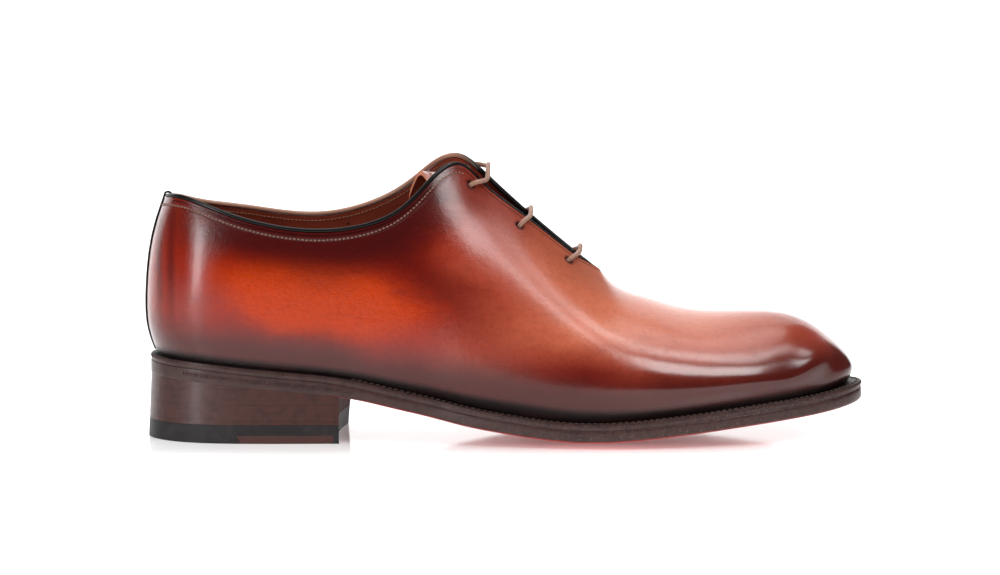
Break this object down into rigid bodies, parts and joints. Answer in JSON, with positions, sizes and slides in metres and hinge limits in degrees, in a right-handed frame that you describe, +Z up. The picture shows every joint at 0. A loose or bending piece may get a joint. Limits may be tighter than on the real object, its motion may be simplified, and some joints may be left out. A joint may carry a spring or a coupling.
{
  "type": "whole cut oxford shoe",
  "caption": "Men's dress shoe with a one-piece leather upper, closed lacing over three pairs of holes, welted leather sole and stacked heel.",
  "frame": {"origin": "on the floor, at the middle of the heel's flat underside, 30 mm ahead of the back of the sole", "axes": "+X to the toe, +Y to the big toe's side, +Z up from the floor"},
  "size_m": [0.3037, 0.1044, 0.1187],
  "materials": {
    "upper_leather": "burnished, glossy",
    "black_piping": "satin",
    "tongue_leather": "satin",
    "insole_leather": "matte",
    "welt_leather": "satin",
    "sole_leather": "satin edge, painted underside",
    "heel_leather": "satin",
    "lift_rubber": "matte",
    "lift_leather": "satin",
    "lace_cotton": "waxed"
  },
  "bodies": {
    "root": {"upper": "upper_leather", "topline_binding": "black_piping", "back_strip": "black_piping", "tongue": "tongue_leather", "insole": "insole_leather", "welt": "welt_leather", "outsole": "sole_leather", "heel_stack": "heel_leather", "top_lift": "lift_rubber", "top_lift_insert": "lift_leather", "lace": "lace_cotton"}
  },
  "joints": []
}
